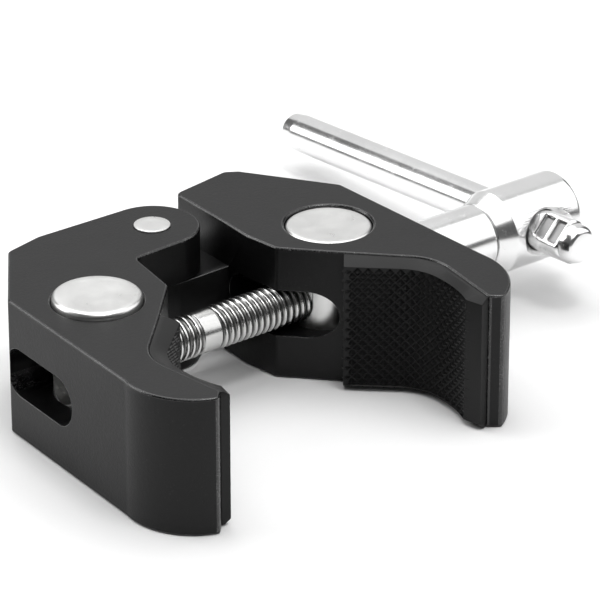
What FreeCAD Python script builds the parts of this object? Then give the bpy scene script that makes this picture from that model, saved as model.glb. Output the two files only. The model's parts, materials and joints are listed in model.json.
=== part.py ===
import FreeCAD, Part
import math
import os

from FreeCAD import Vector

# Crab-shaped super clamp lying on its side. Millimetres.
# Origin: foot of the hinge axis on the plane the clamp lies on.
# +X runs along the clamping screw towards its handle, +Y from the screw to the hinge, +Z up.

# Driving dimensions.
THICKNESS = 19.5          # both jaws, floor to upper face
MID_Z = THICKNESS / 2     # height of the screw axis
EDGE_CHAMFER = 0.2        # polished edge around the jaw faces

HINGE_PIN_R = 2.6
EAR_R = 6.5               # rounded end of the left jaw's two ears
EAR_THICKNESS = 6.2
EAR_SIDE_GAP = 0.1        # between an ear and the tongue
TONGUE_R = 6.3
CLEVIS_R = 7.0            # hollow that the tongue's round end turns in

PIVOT_X = 19.2            # barrel nut axes at rest, either side of the hinge axis
PIVOT_Y = -14.2
BARREL_R = 6.0
BARREL_GAP = 0.05         # running fit of a barrel nut in its jaw
BORE_CHAMFER = 0.25
BARREL_FOOT = 0.3         # barrel nuts stop short of the lower face
LEFT_BARREL_PROUD = 0.85
RIGHT_BARREL_SUNK = 0.2
SLOT_HEIGHT = 6.8
SLOT_LENGTH = 16.0        # lets the screw swing as the jaws turn

SCREW_R = 3.0             # M6 x 1 crests
SCREW_GAP = 0.05          # running fit in the barrel nuts
SCREW_TIP_X = -21.4
RELIEF_X = (-3.6, -0.8)   # plain band between the right-hand and left-hand threads
RELIEF_R = 2.75

SLEEVE_X = (31.4, 45.6)
SLEEVE_R = 4.75
SLEEVE_GAP = 0.08
HEAD_R = 6.0
HEAD_X = (45.7, 60.4)
HEAD_CONE = 1.25          # step in radius from the sleeve's size up to the head's
HEAD_CONE_LENGTH = 2.4
HEAD_END_CHAMFER = 1.0
HEAD_SOCKET = 3.0         # how far the screw is pressed into the head

BAR_R = 2.85
BAR_GAP = 0.07
BAR_X = 53.9              # crossbar axis, measured along the screw
BAR_TILT = 4.5            # degrees that the long end hangs below level
BAR_LONG = 52.5           # screw axis to the far end
BAR_SHORT = 13.2          # screw axis to the near end
BAR_COUNTERSINK = 1.4     # flare at both mouths of the head's cross hole
CRIMP_LENGTH = 4.9        # pressed zone that keeps the bar in the head
CRIMP_TURN = 45.0         # degrees that the pressed flats lean round the bar
CRIMP_WIDTH = 6.5
CRIMP_HEIGHT = 5.2
BAR_DOME = 1.9

QUARTER_INCH_R = 3.2      # wall radius of the 1/4"-20 socket
THREE_EIGHTHS_R = 4.8     # wall radius of the 3/8"-16 socket
SOCKET_DEPTH = 6.5

PAD_END_CLEAR = 0.2       # pads stop short of the jaw's two faces
PAD_BORDER_DROP = 0.7     # height of the plain sloping border above and below the tread
PAD_BORDER_SLIMMED = 0.7  # share of the pad's thickness that the border slopes back

UP = Vector(0, 0, 1)
ALONG_SCREW = Vector(1, 0, 0)
TALL = 2 * THICKNESS


def profile(start, *steps):
    """A closed face in the XY plane: a step is an end point, or a (middle, end) pair for an arc."""
    edges = []
    here = Vector(*start, 0)
    for step in list(steps) + [start]:
        if isinstance(step[0], tuple):
            middle, end = Vector(*step[0], 0), Vector(*step[1], 0)
            edges.append(Part.Arc(here, middle, end).toShape())
        else:
            end = Vector(*step, 0)
            if here.distanceToPoint(end) < 1e-6:
                continue
            edges.append(Part.makeLine(here, end))
        here = end
    return Part.Face(Part.Wire(edges))


def slab(face, low, high):
    """A face drawn in XY, raised between two heights."""
    raised = face.copy()
    raised.translate(Vector(0, 0, low))
    return raised.extrude(Vector(0, 0, high - low))


def disc(radius, low, high, x=0.0, y=0.0):
    return Part.makeCylinder(radius, high - low, Vector(x, y, low), UP)


def rod_x(radius, x_low, x_high):
    """A cylinder on the screw axis."""
    return Part.makeCylinder(radius, x_high - x_low, Vector(x_low, PIVOT_Y, MID_Z), ALONG_SCREW)


def mirrored(shape):
    """The same shape on the other side of the hinge axis."""
    return shape.mirror(Vector(0, 0, 0), ALONG_SCREW)


def edges_at_height(shape, height):
    """Edges that lie flat at one height, without the round edges of bores."""
    found = []
    for edge in shape.Edges:
        box = edge.BoundBox
        flat = abs(box.ZMin - height) < 1e-4 and abs(box.ZMax - height) < 1e-4
        if flat and not edge.isClosed():
            found.append(edge)
    return found


def upright_edges_near(shape, *places):
    """Full-height corner edges standing at the given XY places."""
    found = []
    for edge in shape.Edges:
        box = edge.BoundBox
        upright = box.ZLength > THICKNESS - 1e-3 and box.XLength < 1e-3 and box.YLength < 1e-3
        if upright and any(math.hypot(box.XMin - x, box.YMin - y) < 0.05 for x, y in places):
            found.append(edge)
    return found


# Where the rubber pad sits on a jaw. Drawn for the right jaw and mirrored for the left.
PAD_START = (15.2, -22.6)
MOUTH_BEND = (20.9, -28.4)
MOUTH_DEEP = (22.9, -31.2)
MOUTH_LOW = (23.3, -34.8)
TIP_INNER = (21.9, -44.6)


def pad_face(slimmed=0.0):
    """Plan of the pad. slimmed moves its tread that share of the way back towards the metal."""
    tread_and_metal = [
        ((20.6, -44.9), TIP_INNER),
        ((20.0, -42.2), (22.2, -42.0)),
        ((21.1, -38.4), (22.9, -38.4)),
        ((21.3, -35.4), MOUTH_LOW),
        ((20.8, -32.2), MOUTH_DEEP),
        ((18.9, -29.6), MOUTH_BEND),
        ((13.5, -24.7), PAD_START),
    ]
    end, low, low_bow, middle, high_bow, high, start = [
        (tread[0] + slimmed * (metal[0] - tread[0]), tread[1] + slimmed * (metal[1] - tread[1]))
        for tread, metal in tread_and_metal
    ]
    return profile(
        PAD_START,
        MOUTH_BEND,
        (MOUTH_DEEP, MOUTH_LOW),
        TIP_INNER,
        end,
        low,
        (low_bow, middle),
        (high_bow, high),
        start,
    )


def right_body_face():
    """Full-thickness part of the right jaw, without its tongue."""
    return profile(
        (8.6, 6.4),
        (18.2, 8.1),
        (20.0, 7.0),
        (28.4, -5.2),
        (29.6, -34.4),
        ((28.2, -41.4), (23.6, -45.8)),
        TIP_INNER,
        MOUTH_LOW,
        (MOUTH_DEEP, MOUTH_BEND),
        PAD_START,
        (8.9, -15.9),
        (8.1, -10.3),
        (8.4, -4.6),
    )


def left_body_face():
    """Full-thickness part of the left jaw with the root of its ears, drawn on the right side."""
    return profile(
        (0.0, EAR_R),
        (14.2, 6.6),
        (20.0, 5.2),
        (28.4, -7.0),
        (29.8, -34.8),
        ((28.6, -41.8), (23.2, -46.0)),
        TIP_INNER,
        MOUTH_LOW,
        (MOUTH_DEEP, MOUTH_BEND),
        PAD_START,
        (9.2, -16.2),
        (7.7, -6.9),
        (0.0, -EAR_R),
    )


def screw_slot(side):
    """Long hole along X through one jaw at its barrel nut, with round ends."""
    half = SLOT_LENGTH / 2 - SLOT_HEIGHT / 2
    x_low, x_high = sorted((side * 5.0, side * 34.0))
    run = x_high - x_low
    flat = Part.makeBox(run, 2 * half, SLOT_HEIGHT, Vector(x_low, PIVOT_Y - half, MID_Z - SLOT_HEIGHT / 2))
    ends = [
        Part.makeCylinder(SLOT_HEIGHT / 2, run, Vector(x_low, PIVOT_Y + offset, MID_Z), ALONG_SCREW)
        for offset in (-half, half)
    ]
    return flat.fuse(ends)


def barrel_bore(side):
    """Upright bore for a barrel nut, with its mouth chamfered at both faces."""
    radius = BARREL_R + BARREL_GAP
    x = side * PIVOT_X
    bore = disc(radius, -1, THICKNESS + 1, x, PIVOT_Y)
    wide = radius + BORE_CHAMFER
    upper = Part.makeCone(radius, wide, BORE_CHAMFER, Vector(x, PIVOT_Y, THICKNESS - BORE_CHAMFER), UP)
    lower = Part.makeCone(wide, radius, BORE_CHAMFER, Vector(x, PIVOT_Y, 0), UP)
    return bore.fuse([upper, lower])


def shoulder_socket(corner, away, distance, radius):
    """Blind accessory socket square to a shoulder that runs from corner to away."""
    run = Vector(away[0] - corner[0], away[1] - corner[1], 0).normalize()
    outward = UP.cross(run) if corner[0] > 0 else run.cross(UP)
    mouth = Vector(corner[0], corner[1], MID_Z) + run * distance
    hole = Part.makeCylinder(radius, SOCKET_DEPTH + 1, mouth + outward, outward * -1)
    rim = Part.makeCone(radius + 0.5, radius, 0.5, mouth, outward * -1)
    return hole.fuse(rim), mouth, outward


LEFT_SOCKET = shoulder_socket((-20.0, 5.2), (-28.4, -7.0), 5.4, QUARTER_INCH_R)
RIGHT_SOCKET = shoulder_socket((20.0, 7.0), (28.4, -5.2), 6.0, THREE_EIGHTHS_R)


def finish_edges(jaw, *corners):
    """Rounds the upright corners, then breaks the edges of both faces."""
    rounded = jaw.makeFillet(1.2, upright_edges_near(jaw, *corners))
    rims = edges_at_height(rounded, 0) + edges_at_height(rounded, THICKNESS)
    return rounded.makeChamfer(EDGE_CHAMFER, rims)


def left_jaw():
    """Forked jaw: two ears hold the hinge pin."""
    body = mirrored(slab(left_body_face(), 0, THICKNESS))
    jaw = body.fuse(disc(EAR_R, 0, THICKNESS)).removeSplitter()
    jaw = finish_edges(jaw, (-14.2, 6.6), (-20.0, 5.2), (-28.4, -7.0), (-7.7, -6.9), (-9.2, -16.2))
    fork_low, fork_high = EAR_THICKNESS, THICKNESS - EAR_THICKNESS
    fork = disc(CLEVIS_R, fork_low, fork_high)
    cuts = [
        fork,
        disc(HINGE_PIN_R, -1, TALL),
        barrel_bore(-1),
        screw_slot(-1),
        LEFT_SOCKET[0],
    ]
    return jaw.cut(cuts)


def right_jaw():
    """Jaw with the tongue that turns between the ears."""
    body = finish_edges(
        slab(right_body_face(), 0, THICKNESS),
        (8.6, 6.4), (18.2, 8.1), (20.0, 7.0), (28.4, -5.2), (8.9, -15.9),
    )
    low = EAR_THICKNESS + EAR_SIDE_GAP
    high = THICKNESS - low
    web = slab(profile((0.0, TONGUE_R), (9.5, TONGUE_R), (9.5, -6.0), (0.0, -TONGUE_R)), low, high)
    tongue = web.fuse(disc(TONGUE_R, low, high))
    cuts = [
        disc(HINGE_PIN_R + BARREL_GAP, -1, TALL),
        barrel_bore(1),
        screw_slot(1),
        RIGHT_SOCKET[0],
    ]
    return body.fuse(tongue).removeSplitter().cut(cuts)


def hinge_pin():
    """Straight pin pressed through both ears."""
    pin = disc(HINGE_PIN_R, 0.1, THICKNESS + 0.15)
    return pin.makeChamfer(0.25, [edge for edge in pin.Edges if edge.isClosed()])


def pad():
    """Rubber pad with a plain sloping border above and below its tread."""
    low, high = PAD_END_CLEAR, THICKNESS - PAD_END_CLEAR
    block = slab(pad_face(), low + PAD_BORDER_DROP, high - PAD_BORDER_DROP)
    borders = []
    for full, slim in ((low + PAD_BORDER_DROP, low), (high - PAD_BORDER_DROP, high)):
        full_wire = pad_face().OuterWire
        slim_wire = pad_face(PAD_BORDER_SLIMMED).OuterWire
        full_wire.translate(Vector(0, 0, full))
        slim_wire.translate(Vector(0, 0, slim))
        borders.append(Part.makeLoft([full_wire, slim_wire], True, True))
    return block.fuse(borders).removeSplitter()


def barrel_nut(side, top):
    """Upright cylinder with the clamping screw's cross hole."""
    x = side * PIVOT_X
    nut = disc(BARREL_R, BARREL_FOOT, top, x, PIVOT_Y)
    nut = nut.makeChamfer(0.4, [edge for edge in nut.Edges if edge.isClosed()])
    return nut.cut(rod_x(SCREW_R + SCREW_GAP, x - 2 * BARREL_R, x + 2 * BARREL_R))


def screw():
    """One rod with opposite threads either side of a plain band; its end is pressed into the head."""
    end = HEAD_X[0] + HEAD_SOCKET
    tip = Part.makeCone(SCREW_R - 0.7, SCREW_R, 0.7, Vector(SCREW_TIP_X, PIVOT_Y, MID_Z), ALONG_SCREW)
    threads = [rod_x(SCREW_R, SCREW_TIP_X + 0.7, RELIEF_X[0]), rod_x(SCREW_R, RELIEF_X[1], end)]
    return tip.fuse(threads + [rod_x(RELIEF_R, *RELIEF_X)]).removeSplitter()


def spacer_sleeve():
    """Plain tube that rides on the screw between the right jaw and the head."""
    tube = rod_x(SLEEVE_R, *SLEEVE_X)
    tube = tube.makeChamfer(0.3, [edge for edge in tube.Edges if edge.isClosed()])
    return tube.cut(rod_x(SCREW_R + SLEEVE_GAP, SLEEVE_X[0] - 1, SLEEVE_X[1] + 1))


def bar_direction():
    """Unit vector from the head towards the crossbar's long end."""
    tilt = math.radians(BAR_TILT)
    return Vector(0, math.cos(tilt), -math.sin(tilt))


def along_bar(distance):
    return Vector(BAR_X, PIVOT_Y, MID_Z) + bar_direction() * distance


def handle_head():
    """Head of the T-handle, bored crosswise for the bar."""
    x_low, x_high = HEAD_X
    cone_end = x_low + HEAD_CONE_LENGTH
    foot = Vector(x_low, PIVOT_Y, MID_Z)
    cone = Part.makeCone(HEAD_R - HEAD_CONE, HEAD_R, HEAD_CONE_LENGTH, foot, ALONG_SCREW)
    body = rod_x(HEAD_R, cone_end, x_high)
    rims = [edge for edge in body.Edges if edge.isClosed() and edge.BoundBox.XMin > x_high - 1e-3]
    body = body.makeChamfer(HEAD_END_CHAMFER, rims)
    cross = Part.makeCylinder(BAR_R + BAR_GAP, 4 * HEAD_R, along_bar(-2 * HEAD_R), bar_direction())
    flares = [
        Part.makeCone(BAR_R, BAR_R + BAR_COUNTERSINK + 1, BAR_COUNTERSINK + 1,
                      along_bar(side * (HEAD_R - BAR_COUNTERSINK)), bar_direction() * side)
        for side in (-1, 1)
    ]
    socket = rod_x(SCREW_R, x_low - 1, x_low + HEAD_SOCKET)
    return cone.fuse(body).removeSplitter().cut([cross, socket] + flares)


def bar_end(distance):
    """Pressed zone and rounded tip at the bar end that lies this far from the screw axis."""
    outward = bar_direction() * (1 if distance > 0 else -1)
    tip = along_bar(distance)
    dome_root = tip - outward * BAR_DOME
    dome = Part.makeCone(BAR_R, BAR_R - 0.9, BAR_DOME, dome_root, outward)
    crimp = Part.makeBox(CRIMP_WIDTH, CRIMP_LENGTH, CRIMP_HEIGHT, Vector(-CRIMP_WIDTH / 2, 0, -CRIMP_HEIGHT / 2))
    crimp = crimp.makeChamfer(1.3, [e for e in crimp.Edges if e.BoundBox.YLength > CRIMP_LENGTH - 1e-3])
    turn = FreeCAD.Rotation(bar_direction(), -CRIMP_TURN)
    crimp.Placement = FreeCAD.Placement(dome_root, turn * FreeCAD.Rotation(Vector(0, 1, 0), outward * -1))
    return [dome, crimp]


def crossbar():
    """Sliding bar with both ends pressed wider than the hole in the head."""
    start = along_bar(BAR_DOME - BAR_SHORT)
    shank = Part.makeCylinder(BAR_R, BAR_LONG + BAR_SHORT - 2 * BAR_DOME, start, bar_direction())
    return shank.fuse(bar_end(BAR_LONG) + bar_end(-BAR_SHORT)).removeSplitter()


PIECES = {
    "left_jaw": left_jaw,
    "right_jaw": right_jaw,
    "hinge_pin": hinge_pin,
    "left_pad": lambda: mirrored(pad()),
    "right_pad": pad,
    "left_barrel_nut": lambda: barrel_nut(-1, THICKNESS + LEFT_BARREL_PROUD),
    "right_barrel_nut": lambda: barrel_nut(1, THICKNESS - RIGHT_BARREL_SUNK),
    "screw": screw,
    "spacer_sleeve": spacer_sleeve,
    "handle_head": handle_head,
    "crossbar": crossbar,
}


def main():
    os.makedirs("parts", exist_ok=True)
    for name, build in PIECES.items():
        shape = build()
        if not shape.isValid() or len(shape.Solids) != 1:
            raise ValueError(f"{name} has {len(shape.Solids)} solids, valid: {shape.isValid()}")
        shape.Solids[0].exportStep(f"parts/{name}.step")


main()
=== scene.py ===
import json
import math

import bmesh
import bpy
from bpy.props import FloatProperty, FloatVectorProperty, IntProperty, PointerProperty
from mathutils import Matrix, Vector


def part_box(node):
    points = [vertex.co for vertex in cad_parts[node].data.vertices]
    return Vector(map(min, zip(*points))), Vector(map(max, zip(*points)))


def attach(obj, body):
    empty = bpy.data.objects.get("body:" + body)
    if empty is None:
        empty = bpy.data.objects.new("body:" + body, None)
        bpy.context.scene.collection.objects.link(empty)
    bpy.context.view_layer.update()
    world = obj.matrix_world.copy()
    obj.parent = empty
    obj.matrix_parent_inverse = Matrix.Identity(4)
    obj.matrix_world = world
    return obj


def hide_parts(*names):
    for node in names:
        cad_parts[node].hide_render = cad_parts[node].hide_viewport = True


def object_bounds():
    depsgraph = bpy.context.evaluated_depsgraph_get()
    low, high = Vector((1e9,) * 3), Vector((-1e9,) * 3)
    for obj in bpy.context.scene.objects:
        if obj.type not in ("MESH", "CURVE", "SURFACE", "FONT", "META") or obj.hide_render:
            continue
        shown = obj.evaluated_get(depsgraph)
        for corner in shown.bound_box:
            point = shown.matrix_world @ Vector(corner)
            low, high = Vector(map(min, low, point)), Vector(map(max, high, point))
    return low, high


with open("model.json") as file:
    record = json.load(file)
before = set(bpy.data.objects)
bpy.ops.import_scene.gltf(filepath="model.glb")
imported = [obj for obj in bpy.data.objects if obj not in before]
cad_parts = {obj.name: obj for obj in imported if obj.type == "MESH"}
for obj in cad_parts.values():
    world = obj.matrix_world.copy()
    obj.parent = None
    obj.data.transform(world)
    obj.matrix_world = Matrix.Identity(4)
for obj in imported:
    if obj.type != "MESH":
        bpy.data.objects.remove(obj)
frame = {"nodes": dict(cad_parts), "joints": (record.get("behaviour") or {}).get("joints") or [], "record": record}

bl_info = {
    "name": "Super Clamp",
    "version": (1, 0, 0),
    "blender": (4, 5, 0),
    "location": "View3D > Sidebar > Clamp",
    "description": "Builds a crab-shaped super clamp with a T-handle around its packed frame",
    "category": "Object",
}

CAD_BOX = [list(corner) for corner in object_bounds()]
JOINTS = {joint["name"]: joint for joint in frame["joints"]}
MM = 0.001
X, Z = Vector((1, 0, 0)), Vector((0, 0, 1))
HINGE = Vector(JOINTS["jaw_close"]["pos_m"])
SCREW = Vector(JOINTS["handle_turn"]["pos_m"])
LEFT_NUT = Vector(JOINTS["left_nut_swivel"]["pos_m"])
RIGHT_NUT = Vector(JOINTS["right_nut_swivel"]["pos_m"])
BAR_OUT = -Vector(JOINTS["crossbar_slide"]["axis"]).normalized()
MOUNTS = {mount["name"]: mount for mount in frame["record"]["mounts"]}
BAR_RADIUS = 2.85 * MM
BEYOND = 8 * MM           # past any face that a cross hole is cut through
AIM = Vector((-1.47, -11.10, -0.30)) * MM   # where the camera looks, from the middle of the clamp
AMBIENT = 0.10            # strength of the white surroundings
LAMPS = (                 # name, place, height aimed at, size, share of the overhead power
    ("overhead_softbox", (0.02, 0.20, 0.58), 0.0, 0.60, 1.0),
    ("back_softbox", (0.44, 0.57, 0.36), 0.02, 0.80, 0.50),
    ("left_softbox", (-0.46, 0.50, 0.38), 0.01, 0.50, 0.92),
    ("right_softbox", (0.48, -0.26, 0.50), 0.02, 0.80, 1.03),
    ("front_softbox", (-0.14, -0.28, 0.56), 0.02, 0.40, 0.26),
    ("edge_lamp", (0.03, -0.24, 0.62), 0.02, 0.14, 0.34),
)


# ---------------------------------------------------------------- settings

def colour(name, description, default):
    return FloatVectorProperty(name=name, description=description, default=default, subtype="COLOR", min=0, max=1)


def length(name, description, default):
    """A length property whose default is given in millimetres."""
    return FloatProperty(name=name, description=description, default=default * MM, unit="LENGTH", precision=5)


class ClampFinishes(bpy.types.PropertyGroup):
    coating: colour("Coating", "Colour of the satin coating on the jaws", (0.0030, 0.0030, 0.0032))
    coating_roughness: FloatProperty(
        name="Coating Roughness", description="How dull the coating is",
        default=0.40, min=0, max=1, subtype="FACTOR")
    coating_grain: length("Coating Grain", "Size of the coating's fine grain", 0.26)
    rubber: colour("Rubber", "Colour of the moulded pads", (0.0024, 0.0024, 0.0024))
    plating: colour("Plating", "Colour of the plated barrel nuts and hinge pin", (0.82, 0.82, 0.81))
    thread_steel: colour("Thread Steel", "Colour of the rolled thread", (0.72, 0.72, 0.71))
    chrome: colour("Chrome", "Colour of the bright handle", (0.92, 0.92, 0.92))


class ClampSizes(bpy.types.PropertyGroup):
    edge_round: length("Edge Rounding", "Width of the soft edge on the jaws", 0.10)
    corner_round: length("Corner Rounding", "Width of the rounding down the jaws' upright corners", 0.45)
    thread_pitch: length("Thread Pitch", "Distance between neighbouring threads on the screw", 1.0)
    thread_depth: length("Thread Depth", "Crest to root on the screw", 0.58)
    tread_pitch: length("Tread Pitch", "Distance between studs of one row on the rubber pads", 1.43)
    tread_height: length("Tread Height", "Height of the pads' diamond studs", 0.40)
    knurl_teeth: IntProperty(
        name="Knurl Teeth", description="Teeth around the hinge pin", default=34, min=8, max=80)


class ClampStage(bpy.types.PropertyGroup):
    azimuth: FloatProperty(
        name="Azimuth", description="Camera's bearing round the clamp, 0 looking along +Y",
        default=math.radians(-37.87), subtype="ANGLE")
    elevation: FloatProperty(
        name="Elevation", description="Camera's height above the horizon",
        default=math.radians(26.17), subtype="ANGLE")
    distance: FloatProperty(
        name="Distance", description="Camera to the point it looks at",
        default=0.576, unit="LENGTH")
    lens: FloatProperty(
        name="Lens", description="Focal length in millimetres", default=255.0, unit="CAMERA")
    key_power: FloatProperty(
        name="Overhead Power", description="Power of the overhead softbox",
        default=2.7, unit="POWER")
    floor: colour("Floor", "Colour of the floor", (0.86, 0.86, 0.86))


def settings(context):
    return context.scene.clamp_finishes, context.scene.clamp_sizes


# ---------------------------------------------------------------- node helpers

class Wiring:
    """Adds nodes to one tree and joins them."""

    def __init__(self, tree):
        self.tree = tree

    def add(self, kind, inputs=None, **settings):
        made = self.tree.nodes.new(kind)
        for name, value in settings.items():
            setattr(made, name, value)
        for socket, value in (inputs or {}).items():
            self.feed(made.inputs[socket], value)
        return made

    def feed(self, socket, value):
        if isinstance(value, bpy.types.NodeSocket):
            self.tree.links.new(value, socket)
        else:
            socket.default_value = value

    def math(self, operation, *values):
        made = self.tree.nodes.new("ShaderNodeMath")
        made.operation = operation
        for socket, value in zip(made.inputs, values):
            self.feed(socket, value)
        return made.outputs[0]

    def ramp(self, value, *stops):
        """A value remapped through (position, level) stops."""
        made = self.add("ShaderNodeValToRGB", {"Fac": value})
        points = made.color_ramp.elements
        while len(points) < len(stops):
            points.new(0.5)
        for point, (position, level) in zip(points, stops):
            point.position = position
            point.color = (level, level, level, 1)
        return made.outputs["Color"]


def new_tree(name, **inputs):
    """An empty geometry tree with named inputs, given as socket type and default."""
    tree = bpy.data.node_groups.new(name, "GeometryNodeTree")
    tree.interface.new_socket("Geometry", in_out="INPUT", socket_type="NodeSocketGeometry")
    tree.interface.new_socket("Geometry", in_out="OUTPUT", socket_type="NodeSocketGeometry")
    for label, (kind, default) in inputs.items():
        socket = tree.interface.new_socket(label.replace("_", " "), in_out="INPUT", socket_type=kind)
        if default is not None:
            socket.default_value = default
    wiring = Wiring(tree)
    return tree, wiring, wiring.add("NodeGroupInput").outputs


def close_tree(wiring, geometry, material):
    """Ends a tree: instances made real and given their material."""
    real = wiring.add("GeometryNodeRealizeInstances", {"Geometry": geometry})
    painted = wiring.add("GeometryNodeSetMaterial", {"Geometry": real.outputs[0], "Material": material})
    wiring.add("NodeGroupOutput", {"Geometry": painted.outputs[0]})


def grow(piece, tree, **inputs):
    """Runs a geometry tree on a piece and keeps the result as its plain mesh."""
    modifier = piece.modifiers.new(tree.name, "NODES")
    modifier.node_group = tree
    wanted = {label.replace("_", " "): value for label, value in inputs.items()}
    for item in tree.interface.items_tree:
        if item.item_type == "SOCKET" and item.in_out == "INPUT" and item.name in wanted:
            modifier[item.identifier] = wanted.pop(item.name)
    if wanted:
        raise ValueError(f"{tree.name} has no input {sorted(wanted)}")
    return settle(piece)


def settle(piece):
    """Replaces a piece's mesh by what its modifiers make of it, and drops them."""
    bpy.context.view_layer.update()
    shown = piece.evaluated_get(bpy.context.evaluated_depsgraph_get())
    made = bpy.data.meshes.new_from_object(shown)
    old = piece.data
    piece.modifiers.clear()
    piece.data = made
    bpy.data.meshes.remove(old)
    return piece


# ---------------------------------------------------------------- finishes

def new_finish(name, **sockets):
    """A material with its Principled shader's plain sockets set."""
    material = bpy.data.materials.new(name)
    material.use_nodes = True
    shader = material.node_tree.nodes["Principled BSDF"]
    for socket, value in sockets.items():
        shader.inputs[socket.replace("_", " ")].default_value = value
    wiring = Wiring(material.node_tree)
    place = wiring.add("ShaderNodeTexCoord").outputs["Object"]
    return material, wiring, shader.inputs, place


def noise(wiring, place, size, detail=3.0, roughness=0.55, distortion=0.0):
    """Noise whose features are about size across, in metres."""
    made = wiring.add("ShaderNodeTexNoise", {
        "Vector": place, "Scale": 1 / size, "Detail": detail, "Roughness": roughness, "Distortion": distortion})
    return made.outputs["Fac"]


def tinted(wiring, low, high, factor):
    mixed = wiring.add("ShaderNodeMix", data_type="RGBA")
    wiring.feed(mixed.inputs["Factor"], factor)
    wiring.feed(mixed.inputs[6], (*low, 1))
    wiring.feed(mixed.inputs[7], (*high, 1))
    return mixed.outputs[2]


def distance(wiring, first, second):
    """Distance from the axis that two coordinates are square to."""
    squares = [wiring.math("MULTIPLY", part, part) for part in (first, second)]
    return wiring.math("SQRT", wiring.math("ADD", *squares))


def bump(wiring, inputs, *layers):
    """Stacks bumps given as (height, depth in metres, strength) and feeds the shader's normal."""
    normal = None
    for height, depth, strength in layers:
        made = wiring.add("ShaderNodeBump", {"Height": height, "Distance": depth, "Strength": strength})
        if normal is not None:
            wiring.feed(made.inputs["Normal"], normal)
        normal = made.outputs[0]
    wiring.feed(inputs["Normal"], normal)


def coating_finish(finishes):
    """Satin black coating with fine orange peel, faint clouds and a few pale specks."""
    material, wiring, inputs, place = new_finish("Jaw coating", Specular_IOR_Level=0.26)
    colour = finishes.coating
    grain = noise(wiring, place, finishes.coating_grain, 2.0, 0.6)
    peel = noise(wiring, place, 0.55 * MM, 2.0, 0.5)
    clouds = noise(wiring, place, 9 * MM, 4.0, 0.6)
    specks = wiring.ramp(noise(wiring, place, 0.34 * MM, 1.0), (0.68, 0.0), (0.76, 1.0))
    paler = [min(1.0, 2.0 * c + 0.006) for c in colour]
    wiring.feed(inputs["Base Color"], tinted(wiring, colour, paler, wiring.math("MULTIPLY", specks, 0.7)))
    dull = finishes.coating_roughness
    rough = wiring.math("MULTIPLY_ADD", clouds, 0.10, dull - 0.05)
    least = wiring.math("SUBTRACT", rough, 0.07)
    wiring.feed(inputs["Roughness"], wiring.math("MULTIPLY_ADD", grain, 0.14, least))
    bump(wiring, inputs, (grain, 0.05 * MM, 0.36), (peel, 0.07 * MM, 0.20), (clouds, 0.25 * MM, 0.08))
    return material


def rubbed_finish(finishes):
    """The jaws' edges: the coating polished thin, glossy, with flecks of bright metal."""
    material, wiring, inputs, place = new_finish("Rubbed edge", Specular_IOR_Level=0.6)
    wear = noise(wiring, place, 0.20 * MM, 3.0, 0.7)
    broad = noise(wiring, place, 4 * MM, 2.0)
    total = wiring.math("MULTIPLY_ADD", broad, 0.30, wiring.math("SUBTRACT", wear, 0.15))
    bare = wiring.ramp(total, (0.54, 0.0), (0.70, 0.40))
    wiring.feed(inputs["Base Color"], tinted(wiring, finishes.coating, (0.30, 0.30, 0.30), bare))
    wiring.feed(inputs["Metallic"], wiring.math("MULTIPLY", bare, 0.7))
    wiring.feed(inputs["Roughness"], wiring.math("MULTIPLY_ADD", wear, 0.14, 0.11))
    bump(wiring, inputs, (wear, 0.05 * MM, 0.50))
    return material


def rubber_finish(finishes):
    """Matt moulded rubber with a fine mould grain and dusty patches."""
    material, wiring, inputs, place = new_finish("Pad rubber", Specular_IOR_Level=0.24)
    colour = finishes.rubber
    grain = noise(wiring, place, 0.16 * MM, 2.0)
    dust = noise(wiring, place, 3.5 * MM, 4.0, 0.65)
    dusty = [min(1.0, 1.9 * c + 0.002) for c in colour]
    wiring.feed(inputs["Base Color"], tinted(wiring, colour, dusty, dust))
    wiring.feed(inputs["Roughness"], wiring.math("MULTIPLY_ADD", dust, 0.16, 0.32))
    bump(wiring, inputs, (grain, 0.03 * MM, 0.22))
    return material


def plated_finish(name, finishes, axis):
    """Faced and plated steel: turning rings round an upright axis, soft clouds and stray scratches."""
    material, wiring, inputs, place = new_finish(name, Metallic=1.0)
    centred = wiring.add("ShaderNodeMapping", {"Vector": place, "Location": (-axis.x, -axis.y, 0)})
    split = wiring.add("ShaderNodeSeparateXYZ", {"Vector": centred.outputs[0]}).outputs
    reach = distance(wiring, split[0], split[1])
    rings = wiring.math("SINE", wiring.math("MULTIPLY", reach, math.tau / (0.16 * MM)))
    clouds = noise(wiring, place, 3.2 * MM, 5.0, 0.62, 0.4)
    stretched = wiring.add("ShaderNodeMapping", {
        "Vector": place, "Rotation": (0, 0, 0.6), "Scale": (1.0, 0.06, 1.0)}).outputs[0]
    scratches = wiring.ramp(noise(wiring, stretched, 0.09 * MM, 2.0, 0.6), (0.62, 0.0), (0.68, 1.0))
    darker = [0.80 * c for c in finishes.plating]
    wiring.feed(inputs["Base Color"], tinted(wiring, darker, finishes.plating, clouds))
    rough = wiring.math("MULTIPLY_ADD", clouds, 0.22, 0.20)
    wiring.feed(inputs["Roughness"], wiring.math("MULTIPLY_ADD", scratches, 0.10, rough))
    bump(wiring, inputs, (rings, 0.004 * MM, 0.30), (scratches, 0.004 * MM, 0.25), (clouds, 0.06 * MM, 0.15))
    return material


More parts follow.
